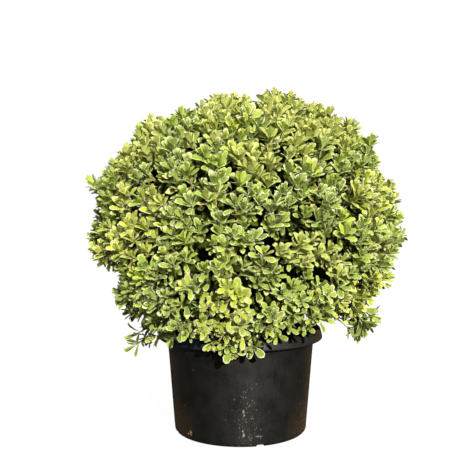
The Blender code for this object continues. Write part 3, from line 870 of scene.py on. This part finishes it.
def primary_controls(number, direction):
    """Start, handles and tip of the primary bough of this middle mass."""
    level = unit(direction * (1, 1, 0))
    start = trunk_axis(PRIMARY_STARTS[number % len(PRIMARY_STARTS)])
    lead = start + level * PRIMARY_LEVEL_LEAD + UP * PRIMARY_RISE_LEAD
    tip = bough_tip(direction)
    return start, lead, tip - direction * TIP_LEAD, tip


def make_limbs(sites, material):
    """The trunk, the leader, the primary boughs and their side boughs, in one mesh."""
    heap = Heap()
    add_trunk(heap)
    directions = {name: direction for _, _, name, direction, _ in sites}
    nodes = ["trunk", "bough_leader"]
    start, tip = trunk_axis(LEADER_START), bough_tip(UP)
    add_bough(heap, (start, start + UP * TIP_LEAD, tip - UP * TIP_LEAD, tip), PRIMARY_RADIUS)
    for ring, number, _, direction, _ in sites:
        if ring != "mid":
            continue
        nodes.append(f"bough_mid_{number}")
        controls = primary_controls(number, direction)
        add_bough(heap, controls, PRIMARY_RADIUS)
        primary = bezier(*controls, SOURCE_RINGS)
        for side_ring, where in SIDE_BOUGHS:
            nodes.append(f"bough_{side_ring}_{number}")
            way = directions[f"{side_ring}_{number}"]
            start, tip = primary[where], bough_tip(way)
            onward = unit(primary[where + 1] - start)
            away = tip - start
            away = unit(away - onward * away.dot(onward))
            lead = start + unit(onward * SIDE_FORWARD + away) * SIDE_LEAD
            add_bough(heap, (start, lead, tip - way * TIP_LEAD, tip), SECONDARY_RADIUS)
    limbs = heap.build("barked_limbs", [material])
    declare(limbs, "bark", *nodes)


# Leaves


def half_width(shares):
    """Half of a leaf's width along it, as a share of the most: blunt, tapering to its stalk."""
    inner = np.minimum(shares, LEAF_TIP)
    return inner ** LEAF_POWERS[0] * np.sqrt(1 - inner ** LEAF_POWERS[1]) / LEAF_WIDEST


def leaf_points(form, leaves, rng):
    """Points (leaf, row, column, 3) of a batch of leaves: folded at the rib, edges curled down."""
    rows, columns = FORMS[form]
    rows = np.array(rows)[None, :]
    flat = ("length", "width", "margin_share", "fold", "curl", "twist", "bend")
    length, width, margin_share, fold, curl, twist, bend = (leaves[key][:, None] for key in flat)
    half = np.maximum(half_width(rows) * width / 2, LEAST_HALF)
    margin = margin_share * width * (MARGIN_RUN[0] + MARGIN_RUN[1] * rows)
    across, height = [], []
    for column in columns:
        if column == "0":
            across.append(0 * half)
            height.append(0 * half)
            continue
        uneven = margin * (1 + MARGIN_STIR * rng.uniform(-1, 1, half.shape))
        inner = np.maximum(half - uneven, LEAST_BLADE * half)
        outer = half if column in "eE" else inner
        across.append(outer if column.isupper() else -outer)
        height.append(fold * inner - curl * (outer - inner))
    across, height = np.stack(across, -1), np.stack(height, -1)
    twist = (twist * rows)[..., None]
    side_part = across * np.cos(twist) - height * np.sin(twist)
    up_part = across * np.sin(twist) + height * np.cos(twist)
    bend = np.where(np.abs(bend) < LEAST_BEND, LEAST_BEND, bend)[..., None, None]
    angle = bend * rows[..., None, None]
    base, along, normal = (leaves[key][:, None, None] for key in ("base", "along", "normal"))
    line = (along * np.sin(angle) - normal * (1 - np.cos(angle))) * length[..., None, None] / bend
    tilted = normal * np.cos(angle) + along * np.sin(angle)
    return base + line + np.cross(along, normal) * side_part[..., None] + tilted * up_part[..., None]


def off_the_pot(points):
    """True for each leaf that stays clear of the pot, the potting mix and the bare part of the rim."""
    level = np.hypot(points[..., 0], points[..., 1])
    height = points[..., 2]
    barred = (height < POT_HEIGHT + POT_ROOM) & (level < RIM_RADIUS + POT_ROOM) & (level > COLLAR_INSIDE)
    barred |= (height < SOIL_TOP + MIX_ROOM) & (level < RIM_RADIUS - MIX_ROOM)
    azimuth = np.degrees(np.arctan2(points[..., 1], points[..., 0]))
    for first, last, top, reach in BARE_RIM:
        barred |= ((azimuth - first) % 360 < last - first) & (height < top) & (level < reach)
    return ~barred.reshape(len(points), -1).any(1)


def add_leaves(heap, form, leaves, rng):
    """Adds a batch of leaves of one form, in the colours dealt to their twigs."""
    points = leaf_points(form, leaves, rng)
    kept = off_the_pot(points)
    rows, columns = points.shape[1:3]
    parts = np.zeros((rows - 1, columns - 1), int)
    if form != "coarse":
        parts[:, (0, -1)] = parts[-1] = 1
    dealt = np.stack((leaves["blade"], leaves["margin"]), 1)[kept]
    materials = dealt[:, parts.ravel()]
    points = points[kept]
    offsets = np.arange(len(points))[:, None, None] * rows * columns
    heap.add(points, grid_faces(points[0], closed=False) + offsets, materials.ravel())


def deal(colours, share, rng):
    """Number of a twig's colour, near this share of the list."""
    return int(np.clip(share + rng.normal() * TWIG_STIR, 0, LAST_SHARE) * len(colours))


def twig_colours(way, tint, starts, rng):
    """Slots of a twig's blades and margins by form of leaf, and the measures of its leaves."""
    foot = (1 - way[2]) / 2
    number = deal(BLADES, tint, rng)
    blade = starts["leaf_blade"] + number
    outer = starts["leaf_blade"] + OUTER_BLADES[number]
    # Shade leaves take the darkest colours: painted shade
    inner = starts["inner_blade"] + number * len(PAINTED_SHADE_BLADES) // len(BLADES)
    return {
        "fine": (blade, outer, starts["leaf_margin"] + deal(CREAMS, tint, rng)),
        "plain": (outer, starts["old_blade"] + deal(OLD_AND_SHADED_BLADES, tint, rng), starts["old_margin"]),
        "coarse": (inner, inner, inner),
        "size": rng.uniform(*TWIG_SIZES) * (1 + (LOW_SIZE - 1) * foot),
        "margin": np.interp(foot, (0, 1), LEAF_MARGIN),
        "slenderness": np.interp(foot, (0, 1), LEAF_SLENDERNESS),
        "opening": np.interp(way[2], *zip(*OPENINGS)),
        "fullness": np.interp(foot, (0, 1), FULLNESS),
    }


def add_whorl(batches, centre, axis, rule, twig, rng):
    """The leaves of one whorl: from the widest and oldest to the upright ones in the middle."""

    def stir(most):
        return rng.uniform(-most, most, count)

    _, counts, widest, narrowest, smallest, stem, form = rule
    count = round(rng.integers(counts[0], counts[1] + 1) * twig["fullness"])
    age = np.linspace(0, 1, count)
    turns = rng.uniform(0, TURN) + np.arange(count) * GOLDEN_ANGLE + stir(TURN_STIR)
    out = spokes(turns, *frame_round(axis))
    tilts = np.radians(widest + (narrowest - widest) * age**TILT_POWER)
    tilts = (tilts + stir(TILT_STIR))[:, None] * twig["opening"]
    along = axis * np.cos(tilts) + out * np.sin(tilts)
    normal = unit(axis - along * (along @ axis)[:, None])
    rolls = stir(ROLL_STIR)[:, None]
    normal = normal * np.cos(rolls) + np.cross(along, normal) * np.sin(rolls)
    size = (1 - (1 - smallest) * age**SIZE_POWER) * rng.uniform(*SIZE_STIR, count) * twig["size"]
    length = rng.uniform(*LEAF_LENGTH) * size
    inner, outer, margin = twig[form]
    rise = stem * (age[:, None] - STEM_BACK)
    leaves = {
        "base": centre + axis * rise + out * BASE_RADIUS * (1 - age[:, None] * BASE_TAPER),
        "along": along,
        "normal": normal,
        "length": length,
        "width": length * (twig["slenderness"] + stir(SLENDERNESS_STIR)),
        "margin_share": np.full(count, twig["margin"]),
        "fold": rng.uniform(*LEAF_FOLD, count),
        "curl": rng.uniform(*LEAF_CURL, count),
        "bend": OUTER_BEND * (1 - age) + rng.uniform(*BEND_STIR, count) + INNER_BEND * age,
        "twist": stir(LEAF_TWIST),
        "blade": np.where(age < OUTER_AGE, outer, inner),
        "margin": np.full(count, margin),
    }
    batches[form].append(leaves)


def hanging_twig(way):
    """Distance of its bud, turn and look of the hanging twig in this direction, if there is one."""
    for twigs, turn, look in HANGING_SPRAYS:
        for azimuth, elevation, reach in twigs:
            if way @ direction_of(azimuth, elevation) > SAME_WAY:
                return reach, turn, look
    return None


def add_twig(heap, controls, twig, material, rng):
    """A knotty twig with this start, these handles and this end; returns its path."""
    points, radii, sides = twig
    path = bezier(*controls, points)
    relief = 1 + TWIG_KNOTS * rng.uniform(-1, 1, (points, sides))
    add_tube(heap, path, np.linspace(*radii, points), sides, material, relief)
    return path


def make_mass(site, ways, all_heads, leaf_slots, starts, twig_materials):
    """One mass of the crown: its stem, twigs and whorls of leaves, joined as two pieces."""
    ring, number, name, direction, _ = site
    rng, shade_rng = rng_for(name), rng_for(name + "_shade")
    every_head = np.concatenate(list(all_heads.values()))
    hub = hub_of(direction)
    twigs, leaves = Heap(), Heap()
    batches = {form: [] for form in FORMS}
    stem = np.linspace(bough_tip(direction), hub, STEM_POINTS)
    add_tube(twigs, stem, np.linspace(BOUGH_TIP_RADIUS, STEM_END_RADIUS, STEM_POINTS), STEM_SIDES, 0)
    heads = all_heads[name]
    head_points = CROWN_CENTRE + heads * (crown_reach(heads) - HEAD_DEPTH)[:, None]
    for order, (way, point) in enumerate(zip(heads, head_points)):
        lead = hub + (point - hub) * HANDLE - UP * HUB_SAG
        controls = (hub, lead, point - way * TIP_LEAD * HANDLE, point)
        path = add_twig(twigs, controls, COARSE_TWIG, 0, rng)
        twig = twig_colours(way, order / len(heads), starts, shade_rng) | SHADE_TWIG
        for place in SHADE_PLACES:
            centre = point_along(path, place)
            add_whorl(batches, centre, unit(point - hub), SHADE_WHORL, twig, shade_rng)

    twig = twig_colours(direction, 0, starts, shade_rng) | SHADE_TWIG
    centres = [bough_tip(direction) + direction * place for place in BOUGH_SHADE]
    if ring == "mid":
        primary = bezier(*primary_controls(number, direction), FINE_RINGS)
        centres += [point_along(primary, place) for place in PRIMARY_SHADE]
    for centre in centres:
        add_whorl(batches, centre, direction, SHADE_WHORL, twig, shade_rng)

    # A coarse twig's spray shares a tint, which runs from the crown's top to its foot
    tints = (1 - heads[:, 2]) / 2 + rng.normal(size=len(heads)) * SPRAY_STIR
    for way in ways:
        hung = hanging_twig(way)
        if hung:
            reach, turn, look = hung
        else:
            reach = crown_reach(way) - bud_depth(way, every_head, rng)
            turn, look = UP * np.interp(way[2], *zip(*LIFTS)), {}
        bud = CROWN_CENTRE + way * reach
        if not off_the_pot(bud[None, None])[0]:
            continue
        axis = unit(way + turn + rng.uniform(-AXIS_STIR, AXIS_STIR, 3))
        spray = np.argmax(heads @ way)
        start = head_points[spray]
        controls = (start, start + (bud - start) * HANDLE, bud - axis * TWIG_LEAD, bud)
        path = add_twig(twigs, controls, FINE_TWIG, 1, rng)
        twig = twig_colours(way, look.get("tint", tints[spray]), starts, rng) | look
        for rule in WHORLS:
            centre = point_along(path, rule[0])
            heading = axis if rule[0] == 1 else unit(centre - point_along(path, rule[0] - HEADING_STEP))
            add_whorl(batches, centre, heading, rule, twig, rng)

    for form, found in batches.items():
        joined = {key: np.concatenate([batch[key] for batch in found]) for key in found[0]}
        add_leaves(leaves, form, joined, rng)
    declare(leaves.build(f"leaves_{name}", leaf_slots), "foliage", f"foliage_{name}")
    declare(twigs.build(f"twigs_{name}", twig_materials), "bark", f"foliage_{name}")


# Pot and potting mix


def arc(centre, radius, start, end, steps):
    """Points (radius, height) of an arc, in degrees."""
    angles = np.radians(np.linspace(start, end, steps + 1))
    return (centre + radius * np.stack((np.cos(angles), np.sin(angles)), 1)).tolist()


def pot_outline():
    """The pot's outer side, from the flat of its foot to the top of its lip."""
    foot_centre = (FOOT_RADIUS - FOOT_ROUNDING, FOOT_ROUNDING)
    foot = arc(foot_centre, FOOT_ROUNDING, *FOOT_ARC)
    body = np.linspace(foot[-1], WALL_TOP, BODY_ROWS + 1)[1:].tolist()
    height, rounding = COLLAR_FOOT
    edge = arc((RIM_RADIUS - rounding, height + rounding), rounding, -90, COLLAR_LEAN, COLLAR_STEPS[0])
    lip = arc(LIP_CENTRE, POT_HEIGHT - LIP_CENTRE[1], COLLAR_LEAN, 90, COLLAR_STEPS[1])
    return foot + body + list(SHELF_CORNER) + edge + lip


def inset(outline, depth):
    """The outline moved towards the axis side by depth, square to each stretch."""
    along = unit(np.gradient(outline, axis=0))
    return (outline + depth * np.stack((-along[:, 1], along[:, 0]), 1)).tolist()


def lathe_rings(outline, segments):
    """Rings of points from an outline of radii and heights."""
    outline = np.array(outline)
    return outline[:, :1, None] * compass(segments) + outline[:, 1:, None] * UP


def turned(points, angle):
    c, s = math.cos(angle), math.sin(angle)
    return points @ np.array(((c, s, 0), (-s, c, 0), (0, 0, 1)))


def make_pot(material):
    """The blow-moulded pot, with its collar, a slightly uneven wall and drain slots."""
    outer = pot_outline()
    inner = inset(outer, POT_WALL)
    profile = [(AXIS_GAP, 0)] + outer + inner[::-1] + [(AXIS_GAP, inner[0][1])]
    rings = lathe_rings(profile, POT_SEGMENTS)
    for point in rings.reshape(-1, 3):
        level = math.hypot(point[0], point[1])
        if level > DENTED[0] and point[2] > DENTED[1]:
            point[:2] *= 1 + DENT_DEPTH / level * noise.noise(Vector(point) * DENT_SCALE)
    pot = mesh_object("nursery_pot", rings.reshape(-1, 3), grid_faces(rings), [material])
    for number in range(DRAIN_SLOTS):
        azimuth = FIRST_DRAIN_AZIMUTH + number * TURN / DRAIN_SLOTS
        size = np.array((FOOT_ROUNDING * 4, DRAIN_WIDTH, DRAIN_HEIGHT * 2))
        corners = turned(BOX_CORNERS * size + np.array((FOOT_RADIUS, 0, 0)), azimuth)
        cutter = mesh_object(f"drain_{number + 1}", corners, BOX_FACES, [])
        modifier = pot.modifiers.new(cutter.name, "BOOLEAN")
        modifier.operation = "DIFFERENCE"
        modifier.object = cutter
        apply_modifiers(pot)
        bpy.data.objects.remove(cutter)
    pot.data.set_sharp_from_angle(angle=POT_CREASE)
    declare(pot, "pot", "pot")


def apply_modifiers(obj):
    graph = bpy.context.evaluated_depsgraph_get()
    made = bpy.data.meshes.new_from_object(obj.evaluated_get(graph))
    obj.modifiers.clear()
    obj.data = made


def make_soil(materials):
    """The potting mix: a crumbly top with chips of bark on it, and plain sides inside the pot."""
    rng = rng_for("soil")
    wall = [point for point in inset(pot_outline(), POT_WALL + AXIS_GAP) if point[1] < SOIL_TOP]
    edge = wall[-1][0]
    radii = np.linspace(1, INNERMOST_RING, SOIL_RINGS) * edge
    profile = [(AXIS_GAP, wall[0][1])] + wall + [(radius, SOIL_TOP) for radius in radii]
    rings = lathe_rings(profile, SOIL_SIDES)
    for point in rings[-SOIL_RINGS + 1 :].reshape(-1, 3):
        point[2] += SOIL_RELIEF * (noise.fractal(Vector(point) * SOIL_GRAIN, 0.9, 2.2, 4) - SOIL_LEVEL)
    heap = Heap()
    heap.add(rings, grid_faces(rings), 0)
    for _ in range(CHIPS):
        angle, level = rng.uniform(0, TURN), math.sqrt(rng.uniform(*CHIP_REACH)) * edge
        length = rng.uniform(*CHIP_LENGTH)
        size = length * np.array((1, rng.uniform(*CHIP_WIDTH), rng.uniform(*CHIP_THICKNESS)))
        tilt = np.linalg.qr(np.eye(3) + CHIP_TILT * rng.normal(size=(3, 3)))[0]
        turn = rng.uniform(0, TURN)
        shape = turned((BOX_CORNERS * size * rng.uniform(*CHIP_STIR, BOX_CORNERS.shape)) @ tilt, turn)
        place = turned(np.array((level, 0, SOIL_TOP + rng.uniform(*CHIP_HEIGHT))), angle)
        heap.add(shape + place, BOX_FACES, 1 + int(rng.integers(len(materials) - 1)))
    soil = heap.build("crumbly_potting_mix", materials)
    soil.data.set_sharp_from_angle(angle=CHIP_CREASE)
    declare(soil, "soil", "soil")


# Stage


def declare(piece, slot, *nodes):
    """The piece rides on the plant's one body and stands for these CAD nodes, which it hides; slot is not
    used.
    """
    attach(piece, "root")
    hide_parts(*nodes)


def stage_material(name, colour, glow):
    n = Nodes(name, (colour, colour, colour), 0.9, 0.1)
    n.fill(n.shader, {"Emission Color": (1, 1, 1, 1), "Emission Strength": glow})
    return n.material


def make_stage():
    """A pale floor and a pale dome behind it, which the camera sees and which light passes."""
    bpy.ops.mesh.primitive_circle_add(vertices=128, radius=STAGE_RADIUS, fill_type="NGON")
    floor = bpy.context.object
    floor.location.z = -FLOOR_DROP
    floor.name = "pale_floor"
    floor.data.materials.append(stage_material("pale_floor", *FLOOR_TONE))
    bpy.ops.mesh.primitive_uv_sphere_add(segments=64, ring_count=32, radius=STAGE_RADIUS)
    dome = bpy.context.object
    dome.name = "pale_backdrop"
    dome.data.shade_smooth()
    dome.data.materials.append(stage_material("pale_backdrop", *BACKDROP_TONE))
    for obj in (floor, dome):
        obj.visible_diffuse = obj.visible_glossy = obj.visible_transmission = obj.visible_shadow = False


def make_light():
    world = bpy.data.worlds.new("studio")
    world.use_nodes = True
    background = world.node_tree.nodes["Background"]
    background.inputs["Color"].default_value = AMBIENT_COLOUR
    background.inputs["Strength"].default_value = AMBIENT
    bpy.context.scene.world = world
    for name, azimuth, elevation, strength, size, gloss in LAMPS:
        lamp = bpy.data.lights.new(name, "SUN")
        lamp.energy = strength
        lamp.angle = math.radians(size)
        lamp.color = LAMP_COLOUR
        holder = new_object(name, lamp)
        towards = Vector(direction_of(TO_CAMERA + azimuth, elevation))
        holder.rotation_euler = towards.to_track_quat("Z", "Y").to_euler()
        holder.visible_glossy = gloss


def make_camera():
    camera = bpy.data.cameras.new("camera")
    camera.lens = CAMERA_LENS
    holder = new_object("camera", camera)
    holder.location = CAMERA_PLACE
    holder.rotation_euler = (math.pi / 2 - CAMERA_PITCH, 0, 0)
    bpy.context.scene.camera = holder


def main():
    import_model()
    make_camera()
    make_light()
    make_stage()
    bpy.context.scene.view_settings.view_transform = "Standard"
    make_pot(pot_material())
    chips = [new_material(f"bark_chips_{tone}", colour, 0.9, 0.3) for tone, colour in CHIP_COLOURS]
    make_soil([mix_material()] + chips)
    sites = mass_sites()
    make_limbs(sites, bark_material())
    leaf_slots, starts = leaf_materials()
    twig_materials = [
        new_material("old_twig", OLD_TWIG, 0.8, 0.3),
        new_material("young_twig", YOUNG_TWIG, 0.7, 0.3),
    ]
    centres = [site[3] for site in sites] + [-UP]
    all_heads = {}
    for _, _, name, direction, coarse in sites:
        walls = space_walls(direction, centres)
        all_heads[name] = head_sites(direction, walls, coarse, rng_for(name + "_heads"))
    buds = bud_sites()
    owners = np.argmax(buds @ np.array(centres).T, axis=1)
    for number, site in enumerate(sites):
        make_mass(site, buds[owners == number], all_heads, leaf_slots, starts, twig_materials)


main()
